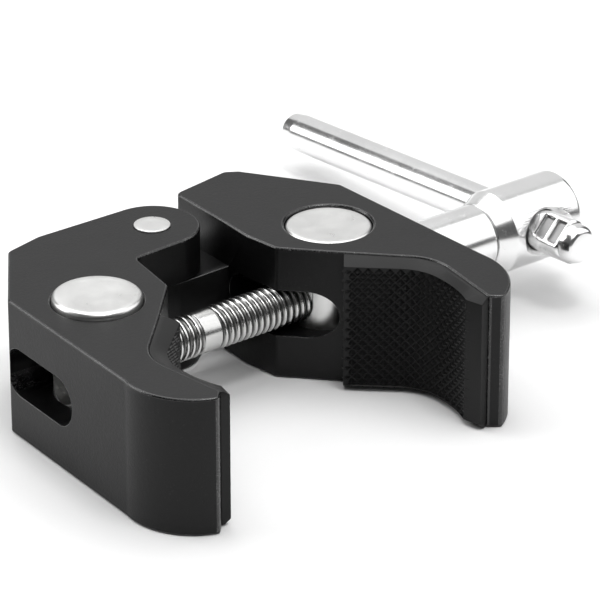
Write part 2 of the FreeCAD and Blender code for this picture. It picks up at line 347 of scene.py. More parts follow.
def thread_finish(name, colour, axis_point, root, crest):
    """Rolled thread: the steel's colour on the crests, painted shade down in the roots."""
    material, wiring, inputs, place = new_finish(name, Metallic=1.0)
    offset = wiring.add("ShaderNodeMapping", {"Vector": place, "Location": tuple(-axis_point)}).outputs[0]
    split = wiring.add("ShaderNodeSeparateXYZ", {"Vector": offset}).outputs
    reach = distance(wiring, split[1], split[2])
    height = wiring.math("DIVIDE", wiring.math("SUBTRACT", reach, root), crest - root)
    # clean runs from 0 in the roots to 1 on the crests and sets where the painted shade goes
    clean = wiring.ramp(height, (0.05, 0.0), (0.85, 1.0))
    grain = noise(wiring, place, 0.30 * MM, 4.0, 0.65)
    # painted shade: towards the roots the colour falls to 0.16 of the steel's
    painted_root_shade = [0.16 * c for c in colour]
    mixed = wiring.math("MULTIPLY", clean, wiring.math("MULTIPLY_ADD", grain, 0.35, 0.78))
    wiring.feed(inputs["Base Color"], tinted(wiring, painted_root_shade, colour, mixed))
    wiring.feed(inputs["Roughness"], wiring.math("MULTIPLY_ADD", clean, -0.14, wiring.math(
        "MULTIPLY_ADD", grain, 0.16, 0.28)))
    bump(wiring, inputs, (grain, 0.02 * MM, 0.22))
    return material


def chrome_finish(name, colour, dull=0.15, along=(0.05, 1.0, 1.0)):
    """Bright plating over turned steel: faint lines round the bar, soft clouds and fingermarks."""
    material, wiring, inputs, place = new_finish(name, Metallic=1.0)
    drawn = wiring.add("ShaderNodeMapping", {"Vector": place, "Scale": along}).outputs[0]
    lines = noise(wiring, drawn, 0.12 * MM, 3.0, 0.6)
    clouds = noise(wiring, place, 5 * MM, 4.0, 0.6)
    marks = wiring.ramp(noise(wiring, place, 1.3 * MM, 5.0, 0.7), (0.56, 0.0), (0.68, 1.0))
    darker = [0.86 * c for c in colour]
    wiring.feed(inputs["Base Color"], tinted(wiring, darker, colour, clouds))
    rough = wiring.math("MULTIPLY_ADD", clouds, 0.10, dull)
    wiring.feed(inputs["Roughness"], wiring.math("MULTIPLY_ADD", marks, 0.09, rough))
    bump(wiring, inputs, (lines, 0.004 * MM, 0.18), (clouds, 0.10 * MM, 0.10))
    return material


def floor_finish(colour):
    material, wiring, inputs, place = new_finish("Paper floor", Specular_IOR_Level=0.2)
    fibre = noise(wiring, place, 0.8 * MM, 3.0)
    paler = [min(1.0, 1.02 * c) for c in colour]
    wiring.feed(inputs["Base Color"], tinted(wiring, colour, paler, fibre))
    inputs["Roughness"].default_value = 0.75
    return material


# ---------------------------------------------------------------- mesh helpers

def new_piece(name, shape, *materials):
    """Turns a bmesh into an object with outward faces."""
    bmesh.ops.recalc_face_normals(shape, faces=shape.faces)
    mesh = bpy.data.meshes.new(name)
    shape.to_mesh(mesh)
    shape.free()
    piece = bpy.data.objects.new(name, mesh)
    bpy.context.scene.collection.objects.link(piece)
    for material in materials:
        mesh.materials.append(material)
    return piece


def across(axis):
    """Two unit vectors square to an axis and to each other."""
    helper = Z if abs(axis.z) < 0.9 else X
    first = axis.cross(helper).normalized()
    return first, axis.cross(first)


def turned(origin, axis, outline, steps=96):
    """A solid of revolution: outline is (along, radius) from one end of the axis to the other.
    An outline whose ends both have a radius is a tube and is closed on itself."""
    shape = bmesh.new()
    side, up = across(axis)
    rings = []
    for along, radius in outline:
        centre = origin + axis * along
        if radius < 1e-9:
            rings.append([shape.verts.new(centre)])
            continue
        rings.append([
            shape.verts.new(centre + side * (radius * math.cos(turn)) + up * (radius * math.sin(turn)))
            for turn in (math.tau * step / steps for step in range(steps))
        ])
    tube = len(rings[0]) > 1 and len(rings[-1]) > 1
    for low, high in zip(rings, rings[1:] + (rings[:1] if tube else [])):
        for step in range(steps):
            after = (step + 1) % steps
            corners = [low[step % len(low)], low[after % len(low)]]
            corners += [high[after % len(high)], high[step % len(high)]]
            shape.faces.new(list(dict.fromkeys(corners)))
    return shape


def rounded(corner_along, corner_radius, size, start, end, count=5):
    """Outline points round a corner, turning from angle start to end (degrees) about the inner centre."""
    points = []
    for step in range(count + 1):
        turn = math.radians(start + (end - start) * step / count)
        points.append((corner_along + size * math.cos(turn), corner_radius + size * math.sin(turn)))
    return points


def cut_away(piece, shape):
    """Cuts a closed shape out of a piece."""
    cutter = new_piece("cutter", shape)
    modifier = piece.modifiers.new("cut", "BOOLEAN")
    modifier.operation = "DIFFERENCE"
    modifier.solver = "EXACT"
    modifier.object = cutter
    settle(piece)
    bpy.data.objects.remove(cutter)
    return piece


def soften(piece, width, segments=2, angle=28.0, edge_material=-1, upright=None):
    """Rounds a piece's sharp outward edges, long upright ones by their own width where one is given,
    and keeps its broad faces flat in the shading."""
    widest = max(width, upright or 0.0)
    shape = bmesh.new()
    shape.from_mesh(piece.data)
    weight = shape.edges.layers.float.new("bevel_weight_edge")
    for edge in shape.edges:
        if len(edge.link_faces) == 2 and edge.is_convex and edge.calc_face_angle() > math.radians(angle):
            run = edge.verts[1].co - edge.verts[0].co
            corner = upright is not None and abs(run.z) > max(5 * MM, 0.99 * run.length)
            edge[weight] = (upright if corner else width) / widest
    shape.to_mesh(piece.data)
    shape.free()
    modifier = piece.modifiers.new("edges", "BEVEL")
    modifier.width = widest
    modifier.segments = segments
    modifier.limit_method = "WEIGHT"
    modifier.use_clamp_overlap = False
    modifier.material = edge_material
    return shade(piece)


def shade(piece, sharp=40.0):
    """Smooth shading with face-weighted normals, then the modifiers' result becomes the mesh."""
    piece.data.polygons.foreach_set("use_smooth", [True] * len(piece.data.polygons))
    modifier = piece.modifiers.new("normals", "WEIGHTED_NORMAL")
    modifier.weight = 60
    modifier.keep_sharp = True
    settle(piece)
    piece.data.set_sharp_from_angle(angle=math.radians(sharp))
    return piece


def joined(name, pieces):
    """Several objects made one piece."""
    with bpy.context.temp_override(
            active_object=pieces[0], object=pieces[0], selected_objects=pieces, selected_editable_objects=pieces):
        bpy.ops.object.join()
    pieces[0].name = pieces[0].data.name = name
    return pieces[0]


def cad_copy(node):
    """A clean bmesh of one of the frame's nodes, its flat faces made whole."""
    shape = bmesh.new()
    shape.from_mesh(frame["nodes"][node].data)
    bmesh.ops.remove_doubles(shape, verts=shape.verts, dist=1e-6)
    bmesh.ops.dissolve_limit(
        shape, angle_limit=math.radians(0.5), use_dissolve_boundaries=False, verts=shape.verts, edges=shape.edges)
    return shape


def fit(piece, node, body):
    """Lets a piece stand for a node and ride its body."""
    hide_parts(node)
    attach(piece, body)


# ---------------------------------------------------------------- geometry trees

def thread_tree():
    """A helical ridge: a trapezoid swept along a helix, dying away at both ends.
    A depth below zero counts as none, which leaves a flat band without thickness."""
    tree, wiring, given = new_tree(
        "Thread ridge",
        Length=("NodeSocketFloat", 0.01), Pitch=("NodeSocketFloat", 0.001), Radius=("NodeSocketFloat", 0.003),
        Depth=("NodeSocketFloat", 0.0006), Root_Width=("NodeSocketFloat", 0.0009),
        Crest_Width=("NodeSocketFloat", 0.0003), Left_Handed=("NodeSocketBool", False),
        Start=("NodeSocketVector", None), Turn=("NodeSocketRotation", None), Steps=("NodeSocketInt", 56),
        Material=("NodeSocketMaterial", None))
    turns = wiring.math("DIVIDE", given["Length"], given["Pitch"])
    middle = wiring.math("ADD", given["Radius"], wiring.math("MULTIPLY", given["Depth"], 0.5))
    helix = wiring.add("GeometryNodeCurveSpiral", {
        "Resolution": given["Steps"], "Rotations": turns, "Start Radius": middle, "End Radius": middle,
        "Height": given["Length"], "Reverse": given["Left Handed"]})
    upright = wiring.add("GeometryNodeSetCurveNormal", {"Curve": helix.outputs[0]}, mode="Z_UP")
    place = wiring.add("GeometryNodeSplineParameter").outputs["Factor"]
    from_end = wiring.math("MULTIPLY", wiring.math("MINIMUM", place, wiring.math("SUBTRACT", 1.0, place)), turns)
    fade = wiring.math("MINIMUM", wiring.math("MULTIPLY_ADD", from_end, 1.6, 0.12), 1.0)
    outline = wiring.add("GeometryNodeCurvePrimitiveQuadrilateral", {
        "Height": given["Depth"], "Bottom Width": given["Root Width"], "Top Width": given["Crest Width"],
        "Offset": 0.0}, mode="TRAPEZOID")
    lean = wiring.math("MULTIPLY_ADD", given["Left Handed"], -math.pi, math.pi / 2)
    outward = wiring.add("FunctionNodeEulerToRotation", {
        0: wiring.add("ShaderNodeCombineXYZ", {"Z": lean}).outputs[0]}).outputs[0]
    facing = wiring.add("GeometryNodeTransform", {"Geometry": outline.outputs[0], "Rotation": outward})
    ridge = wiring.add("GeometryNodeCurveToMesh", {
        "Curve": upright.outputs[0], "Profile Curve": facing.outputs[0], "Scale": fade, "Fill Caps": True})
    placed = wiring.add("GeometryNodeTransform", {
        "Geometry": ridge.outputs[0], "Translation": given["Start"], "Rotation": given["Turn"]})
    both = wiring.add("GeometryNodeJoinGeometry")
    wiring.feed(both.inputs[0], placed.outputs[0])
    wiring.feed(both.inputs[0], given["Geometry"])
    close_tree(wiring, both.outputs[0], given["Material"])
    return tree


def tread_tree():
    """Diamond studs in staggered rows on the surface below a guide line."""
    tree, wiring, given = new_tree(
        "Diamond tread",
        Pitch=("NodeSocketFloat", 0.0014), Height=("NodeSocketFloat", 0.0004), Sink=("NodeSocketFloat", 0.0001),
        Peak=("NodeSocketFloat", 0.0001), Rows=("NodeSocketInt", 12), Outward=("NodeSocketFloat", 1.0),
        Material=("NodeSocketMaterial", None))
    half = wiring.math("MULTIPLY", given["Pitch"], 0.5)
    guide = wiring.add("GeometryNodeMeshToCurve", {"Mesh": given["Geometry"]})
    spaced = wiring.add(
        "GeometryNodeCurveToPoints", {"Curve": guide.outputs[0], "Length": half}, mode="LENGTH")
    direction = wiring.add("ShaderNodeVectorMath", {0: spaced.outputs["Tangent"], 1: (0, 0, 1)},
                           operation="CROSS_PRODUCT").outputs[0]
    out = wiring.add("ShaderNodeVectorMath", {0: direction, "Scale": given["Outward"]},
                     operation="SCALE").outputs[0]
    facing = wiring.add("FunctionNodeAxesToRotation", {"Primary Axis": out, "Secondary Axis": (0, 0, 1)},
                        primary_axis="Z", secondary_axis="X").outputs[0]
    kept = wiring.add("GeometryNodeStoreNamedAttribute", {
        "Geometry": spaced.outputs["Points"], "Name": "facing", "Value": facing},
        data_type="QUATERNION", domain="POINT").outputs[0]
    place = wiring.add("GeometryNodeInputIndex").outputs[0]
    stagger = wiring.math("MULTIPLY", wiring.math("MODULO", place, 2.0), half)
    lowered = wiring.add("GeometryNodeSetPosition", {
        "Geometry": kept,
        "Offset": wiring.add("ShaderNodeCombineXYZ", {"Z": wiring.math("MULTIPLY", stagger, -1.0)}).outputs[0]})
    step = wiring.add("ShaderNodeCombineXYZ", {"Z": wiring.math("MULTIPLY", given["Pitch"], -1.0)}).outputs[0]
    column = wiring.add("GeometryNodeMeshLine", {"Count": given["Rows"], "Offset": step}).outputs[0]
    columns = wiring.add("GeometryNodeInstanceOnPoints", {"Points": lowered.outputs[0], "Instance": column})
    lattice = wiring.add("GeometryNodeRealizeInstances", {"Geometry": columns.outputs[0]})
    stud = wiring.add("GeometryNodeMeshCone", {
        "Vertices": 4, "Radius Top": given["Peak"], "Radius Bottom": half,
        "Depth": wiring.math("ADD", given["Height"], given["Sink"])})
    sunk = wiring.add("GeometryNodeTransform", {
        "Geometry": stud.outputs["Mesh"],
        "Translation": wiring.add("ShaderNodeCombineXYZ", {
            "Z": wiring.math("MULTIPLY", given["Sink"], -1.0)}).outputs[0]})
    turn = wiring.add("GeometryNodeInputNamedAttribute", {"Name": "facing"}, data_type="QUATERNION").outputs[0]
    studs = wiring.add("GeometryNodeInstanceOnPoints", {
        "Points": lattice.outputs[0], "Instance": sunk.outputs[0], "Rotation": turn})
    close_tree(wiring, studs.outputs[0], given["Material"])
    return tree


def knurl_tree():
    """Small teeth stood in a circle round an upright pin."""
    tree, wiring, given = new_tree(
        "Knurl",
        Teeth=("NodeSocketInt", 34), Radius=("NodeSocketFloat", 0.0025), Tooth=("NodeSocketFloat", 0.0002),
        Height=("NodeSocketFloat", 0.001), Centre=("NodeSocketVector", None),
        Material=("NodeSocketMaterial", None))
    circle = wiring.add("GeometryNodeMeshCircle", {"Vertices": given["Teeth"], "Radius": given["Radius"]})
    tooth = wiring.add("GeometryNodeMeshCone", {
        "Vertices": 8, "Radius Top": wiring.math("MULTIPLY", given["Tooth"], 0.55),
        "Radius Bottom": given["Tooth"], "Depth": given["Height"]})
    ring = wiring.add("GeometryNodeInstanceOnPoints", {
        "Points": circle.outputs[0], "Instance": tooth.outputs["Mesh"]})
    placed = wiring.add("GeometryNodeTransform", {"Geometry": ring.outputs[0], "Translation": given["Centre"]})
    both = wiring.add("GeometryNodeJoinGeometry")
    wiring.feed(both.inputs[0], placed.outputs[0])
    wiring.feed(both.inputs[0], given["Geometry"])
    close_tree(wiring, both.outputs[0], given["Material"])
    return tree


# ---------------------------------------------------------------- pad outline

PAD_START, MOUTH_BEND = Vector((15.2, -22.6)), Vector((20.9, -28.4))
MOUTH_DEEP, MOUTH_LOW = Vector((22.9, -31.2)), Vector((23.3, -34.8))
TIP_INNER, PAD_END = Vector((21.9, -44.6)), Vector((20.6, -44.85))
TREAD_LOW, TREAD_LOW_BOW = Vector((20.0, -42.2)), Vector((21.1, -38.4))
TREAD_MIDDLE, TREAD_HIGH_BOW = Vector((21.3, -35.4)), Vector((20.8, -32.2))
TREAD_HIGH, TREAD_START = Vector((18.9, -29.6)), Vector((13.5, -24.7))


def arc(first, middle, last, count):
    """Points along the circle through three points, without the first."""
    ab, ac = middle - first, last - first
    turn = 2 * (ab.x * ac.y - ab.y * ac.x)
    centre = first + Vector((
        (ac.y * ab.length_squared - ab.y * ac.length_squared) / turn,
        (ab.x * ac.length_squared - ac.x * ab.length_squared) / turn))
    begin = first - centre
    sweep = begin.angle_signed(last - centre) * -1
    points = []
    for step in range(1, count + 1):
        points.append(centre + Matrix.Rotation(sweep * step / count, 2) @ begin)
    return points


def tread_line():
    """The tread's face in plan, from its root by the screw to the plain strip at the tip."""
    points = [TREAD_START.lerp(TREAD_HIGH, step / 8) for step in range(9)]
    points += arc(TREAD_HIGH, TREAD_HIGH_BOW, TREAD_MIDDLE, 10)
    points += arc(TREAD_MIDDLE, TREAD_LOW_BOW, TREAD_LOW, 10)
    return points


def metal_line(count):
    """The same number of points along the metal behind the pad, from root to tip."""
    stops = [PAD_START, MOUTH_BEND, *arc(MOUTH_BEND, MOUTH_DEEP, MOUTH_LOW, 6), TIP_INNER]
    lengths = [0.0]
    for here, after in zip(stops, stops[1:]):
        lengths.append(lengths[-1] + (after - here).length)
    points = []
    for step in range(count):
        wanted = lengths[-1] * step / (count - 1)
        leg = max(i for i in range(len(stops) - 1) if lengths[i] <= wanted + 1e-9)
        share = (wanted - lengths[leg]) / (lengths[leg + 1] - lengths[leg])
        points.append(stops[leg].lerp(stops[leg + 1], share))
    return points


def moved_in(points, distance):
    """A plan line shifted towards the metal, square to itself."""
    shifted = []
    for index, point in enumerate(points):
        before, after = points[max(0, index - 1)], points[min(len(points) - 1, index + 1)]
        run = (after - before).normalized()
        shifted.append(point + Vector((-run.y, run.x)) * distance)
    return shifted


# ---------------------------------------------------------------- operators

class CLAMP_OT_jaws(bpy.types.Operator):
    """Both jaws, with softened rubbed edges"""
    bl_idname = "clamp.jaws"
    bl_label = "Jaws"

    def execute(self, context):
        finishes, sizes = settings(context)
        coating, rubbed = coating_finish(finishes), rubbed_finish(finishes)
        for side in ("left", "right"):
            jaw = new_piece(f"{side}_jaw_casting", cad_copy(f"{side}_jaw"), coating, rubbed)
            for face in jaw.data.polygons:
                if 0.4 < abs(face.normal.z) < 0.95 and face.area < 2e-5:
                    face.material_index = 1
            soften(jaw, sizes.edge_round, 3, edge_material=1, upright=sizes.corner_round)
            fit(jaw, f"{side}_jaw", f"{side}_jaw_body")
        return {"FINISHED"}


class CLAMP_OT_socket_threads(bpy.types.Operator):
    """A flat spiral band in each accessory socket, where its thread would be"""
    bl_idname = "clamp.socket_threads"
    bl_label = "Socket Threads"

    def execute(self, context):
        finishes = context.scene.clamp_finishes
        tree = thread_tree()
        for mount, body, pitch in (
                ("quarter_inch_socket", "left_jaw_body", 25.4 / 20 * MM),
                ("three_eighths_inch_socket", "right_jaw_body", 25.4 / 16 * MM)):
            entry = MOUNTS[mount]
            radius, depth = entry["dims"]["r_mm"] * MM, entry["dims"]["length_mm"] * MM
            outward = Vector(entry["axis"])
            root = Vector(entry["pos_m"]) - outward * (depth * 0.5)
            metal = chrome_finish(f"Tapped {mount}", (0.55, 0.55, 0.55), 0.30)
            thread = new_piece(f"{mount}_thread", bmesh.new())
            grow(thread, tree, Length=depth * 0.92, Pitch=pitch, Radius=radius + 0.02 * MM, Depth=-0.6 * pitch,
                 Root_Width=pitch * 0.86, Crest_Width=pitch * 0.14, Start=root,
                 Turn=outward.to_track_quat("Z", "Y").to_euler(), Steps=40, Material=metal)
            shade(thread, 30)
            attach(thread, body)
        return {"FINISHED"}


class CLAMP_OT_pads(bpy.types.Operator):
    """Rubber pads with a sloping border, a plain strip at the tip and a diamond tread"""
    bl_idname = "clamp.pads"
    bl_label = "Rubber Pads"

    def execute(self, context):
        finishes, sizes = settings(context)
        rubber, tree = rubber_finish(finishes), tread_tree()
        for side, sign in (("left", -1), ("right", 1)):
            low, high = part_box(f"{side}_pad")[0].z / MM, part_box(f"{side}_pad")[1].z / MM
            body = self.body(sign, low, high, sizes.tread_height / MM, rubber, side)
            studs = self.studs(sign, low, high, sizes, rubber, tree)
            pad = joined(f"{side}_rubber_pad", [body, studs])
            fit(pad, f"{side}_pad", f"{side}_jaw_body")
        return {"FINISHED"}

    def body(self, sign, low, high, sunk, rubber, side):
        """The pad without its studs: sections stacked from the floor up."""
        face = [TREAD_START, *tread_line()[1:], PAD_END]
        metal = metal_line(len(face))
        recessed = [
            point if index < 1 or index > len(face) - 3 else moved
            for index, (point, moved) in enumerate(zip(face, moved_in(face, sunk)))
        ]
        sections = []
        for height, slope, plan in (
                (low, 0.7, face), (low + 0.7, 0.0, face), (low + 0.85, 0.0, recessed),
                (high - 0.85, 0.0, recessed), (high - 0.7, 0.0, face), (high, 0.7, face)):
            front = [a.lerp(b, slope) for a, b in zip(plan, metal)]
            sections.append([Vector((sign * p.x, p.y, height)) * MM for p in front + metal[::-1]])
        shape = bmesh.new()
        rows = [[shape.verts.new(point) for point in section] for section in sections]
        count = len(rows[0])
        for lower, upper in zip(rows, rows[1:]):
            for index in range(count):
                after = (index + 1) % count
                shape.faces.new([lower[index], lower[after], upper[after], upper[index]])
        half = count // 2
        for row in (rows[0], rows[-1]):
            for index in range(half - 1):
                shape.faces.new([row[index], row[index + 1], row[count - 2 - index], row[count - 1 - index]])
        return soften(new_piece(f"{side}_pad_body", shape, rubber), 0.05 * MM)

    def studs(self, sign, low, high, sizes, rubber, tree):
        """Diamond studs on the recessed face."""
        pitch = sizes.tread_pitch / MM
        line = moved_in(tread_line(), sizes.tread_height / MM)
        start = line[0].lerp(line[1], 0.45)
        top = high - 0.85 - pitch * 0.5
        guide = bmesh.new()
        points = [guide.verts.new(Vector((sign * p.x, p.y, top)) * MM) for p in [start] + line[1:]]
        for here, after in zip(points, points[1:]):
            guide.edges.new((here, after))
        studs = new_piece("studs", guide)
        rows = int((top - low - 0.85) / pitch + 0.5)
        return grow(studs, tree, Pitch=sizes.tread_pitch, Height=sizes.tread_height, Sink=0.06 * MM,
                    Peak=0.09 * MM, Rows=rows, Outward=float(sign), Material=rubber)


class CLAMP_OT_hinge_pin(bpy.types.Operator):
    """Hinge pin with a fine straight knurl under its faced top"""
    bl_idname = "clamp.hinge_pin"
    bl_label = "Hinge Pin"

    def execute(self, context):
        finishes, sizes = settings(context)
        steel = plated_finish("Hinge pin steel", finishes, HINGE)
        low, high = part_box("hinge_pin")
        radius = (high.x - low.x) / 2
        core = radius - 0.10 * MM
        foot = Vector((HINGE.x, HINGE.y, 0))
        outline = [(low.z, 0), (low.z, core - 0.2 * MM), (low.z + 0.2 * MM, core)]
        outline += [(high.z - 0.08 * MM, core), (high.z - 0.02 * MM, core - 0.04 * MM), (high.z, core - 0.1 * MM)]
        outline += [(high.z - 0.02 * MM, core - 0.7 * MM), (high.z - 0.02 * MM, 0)]
        pin = new_piece("hinge_pin_turned", turned(foot, Z, outline, 72), steel)
        shade(pin)
        grow(pin, knurl_tree(), Teeth=sizes.knurl_teeth, Radius=core - 0.06 * MM, Tooth=0.16 * MM,
             Height=high.z - 0.04 * MM - low.z - 0.3 * MM, Centre=foot + Z * (low.z + 0.3 * MM), Material=steel)
        fit(pin, "hinge_pin", "left_jaw_body")
        return {"FINISHED"}


class CLAMP_OT_barrel_nuts(bpy.types.Operator):
    """Plated barrel nuts with rounded rims and the cross hole for the screw, wider at the left nut's outer
    end, where a flat spiral band stands for the thread"""
    bl_idname = "clamp.barrel_nuts"
    bl_label = "Barrel Nuts"

    def execute(self, context):
        finishes, sizes = settings(context)
        tree = thread_tree()
        for side, axis in (("left", LEFT_NUT), ("right", RIGHT_NUT)):
            steel = plated_finish(f"{side.title()} barrel steel", finishes, axis)
            low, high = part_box(f"{side}_barrel_nut")
            radius, edge = (high.x - low.x) / 2, 0.62 * MM
            outline = [(low.z, 0), (low.z, radius - 0.4 * MM), (low.z + 0.4 * MM, radius)]
            outline += rounded(high.z - edge, radius - edge, edge, 90, 0)
            outline += [(high.z - 0.02 * MM, radius - 1.2 * MM)]
            outline += [(high.z - 0.04 * MM, 2.5 * MM), (high.z - 0.05 * MM, 0)]
            foot = Vector((axis.x, axis.y, 0))
            nut = new_piece(f"{side}_barrel", turned(foot, Z, outline, 128), steel)
            bore, opened, past = 3.05 * MM, 3.5 * MM, BEYOND + MM
            step = (-2.1 if side == "left" else -8) * MM
            hole = [(-past, 0), (-past, opened), (step, opened), (step + 0.3 * MM, bore), (past, bore), (past, 0)]
            cut_away(nut, turned(axis, X, hole, 96))
            soften(nut, 0.12 * MM, 2, angle=35)
            if side == "left":
                pitch = sizes.thread_pitch
                mouth = new_piece("mouth_thread", bmesh.new())
                start = SCREW + X * (screw_start() - SCREW.x - 3.5 * pitch)
                grow(mouth, tree, Length=3.0 * pitch, Pitch=pitch, Radius=3.52 * MM, Depth=-0.42 * MM,
                     Root_Width=0.80 * pitch, Crest_Width=0.16 * pitch, Start=start,
                     Turn=(0, math.radians(90), 0), Steps=56, Material=steel)
                nut = joined(f"{side}_barrel", [nut, shade(mouth, 30)])
            fit(nut, f"{side}_barrel_nut", f"{side}_nut_body")
        return {"FINISHED"}


def screw_start():
    """Where the left-hand end's full thread begins, along X."""
    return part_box("screw")[0].x + 0.5 * MM


class CLAMP_OT_screw(bpy.types.Operator):
    """Clamping screw with opposite threads either side of a plain band"""
    bl_idname = "clamp.screw"
    bl_label = "Screw"

    def execute(self, context):
        finishes, sizes = settings(context)
        low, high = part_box("screw")
        crest = (high.z - low.z) / 2
        depth, pitch = sizes.thread_depth, sizes.thread_pitch
        root = crest - depth
        band = (HINGE.x - 3.7 * MM, HINGE.x - 0.9 * MM)
        steel = thread_finish("Rolled thread steel", finishes.thread_steel, SCREW, root, crest)
        bright = crest - 0.12 * MM
        outline = [(low.x, 0), (low.x, root - 0.55 * MM), (low.x + 0.5 * MM, root)]
        outline += [(band[0] - 0.25 * MM, root), (band[0], bright), (band[1], bright), (band[1] + 0.25 * MM, root)]
        outline += [(high.x, root), (high.x, 0)]
        origin = Vector((0, SCREW.y, SCREW.z))
        screw = new_piece("threaded_screw", turned(origin, X, outline, 64), steel)
        shade(screw, 50)
        tree = thread_tree()
        left, right = screw_start(), band[1] - 0.05 * MM
        hidden_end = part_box("spacer_sleeve")[0].x + 4 * MM
        for start, end, left_handed in ((left, band[0] + 0.1 * MM, False), (right, hidden_end, True)):
            grow(screw, tree, Length=end - start, Pitch=pitch, Radius=root - 0.03 * MM, Depth=depth + 0.03 * MM,
                 Root_Width=0.90 * pitch, Crest_Width=0.30 * pitch, Left_Handed=left_handed,
                 Start=origin + X * start, Turn=(0, math.radians(90), 0), Steps=56, Material=steel)
        soften(screw, 0.05 * MM, 1, angle=40)
        fit(screw, "screw", "screw_body")
        return {"FINISHED"}


class CLAMP_OT_handle(bpy.types.Operator):
    """Spacer sleeve and the T-handle's head with its countersunk cross hole"""
    bl_idname = "clamp.handle"
    bl_label = "Sleeve and Head"

    def execute(self, context):
        finishes = context.scene.clamp_finishes
        chrome = chrome_finish("Handle chrome", finishes.chrome)
        axis = Vector((0, SCREW.y, SCREW.z))
        low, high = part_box("spacer_sleeve")
        outer, inner, edge = (high.z - low.z) / 2, 3.08 * MM, 0.3 * MM
        outline = [(low.x, inner), *rounded(low.x + edge, outer - edge, edge, 180, 90)]
        outline += [*rounded(high.x - edge, outer - edge, edge, 90, 0), (high.x, inner)]
        sleeve = shade(new_piece("turned_sleeve", turned(axis, X, outline), chrome))
        fit(sleeve, "spacer_sleeve", "sleeve_body")

        low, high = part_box("handle_head")
        radius, cone, edge = (high.z - low.z) / 2, 2.4 * MM, 0.9 * MM
        outline = [(low.x, 0), (low.x, radius - 1.25 * MM), (low.x + cone - 0.1 * MM, radius - 0.06 * MM)]
        outline += [(low.x + cone + 0.15 * MM, radius), *rounded(high.x - edge, radius - edge, edge, 90, 0, 6)]
        outline += [(high.x - 0.1 * MM, radius * 0.4), (high.x - 0.1 * MM, 0)]
        head = new_piece("turned_head", turned(axis, X, outline, 128), chrome)
        centre = bar_centre()
        bore, reach, sink = BAR_RADIUS + 0.07 * MM, BEYOND, 1.4 * MM
        hole = [(-reach, 0), (-reach, bore + sink + reach - radius), (-radius + sink + 0.2 * MM, bore)]
        hole += [(radius - sink - 0.2 * MM, bore), (reach, bore + sink + reach - radius), (reach, 0)]
        cut_away(head, turned(centre, BAR_OUT, hole))
        cut_away(head, turned(axis, X, [(low.x - MM, 0), (low.x - MM, 3 * MM), (low.x + 3 * MM, 3 * MM),
                                        (low.x + 3 * MM, 0)]))
        soften(head, 0.1 * MM, 2, angle=30)
        fit(head, "handle_head", "screw_body")
        return {"FINISHED"}


def bar_centre():
    """Where the crossbar's axis meets the screw's."""
    low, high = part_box("crossbar")
    return Vector(((low.x + high.x) / 2, SCREW.y, SCREW.z))


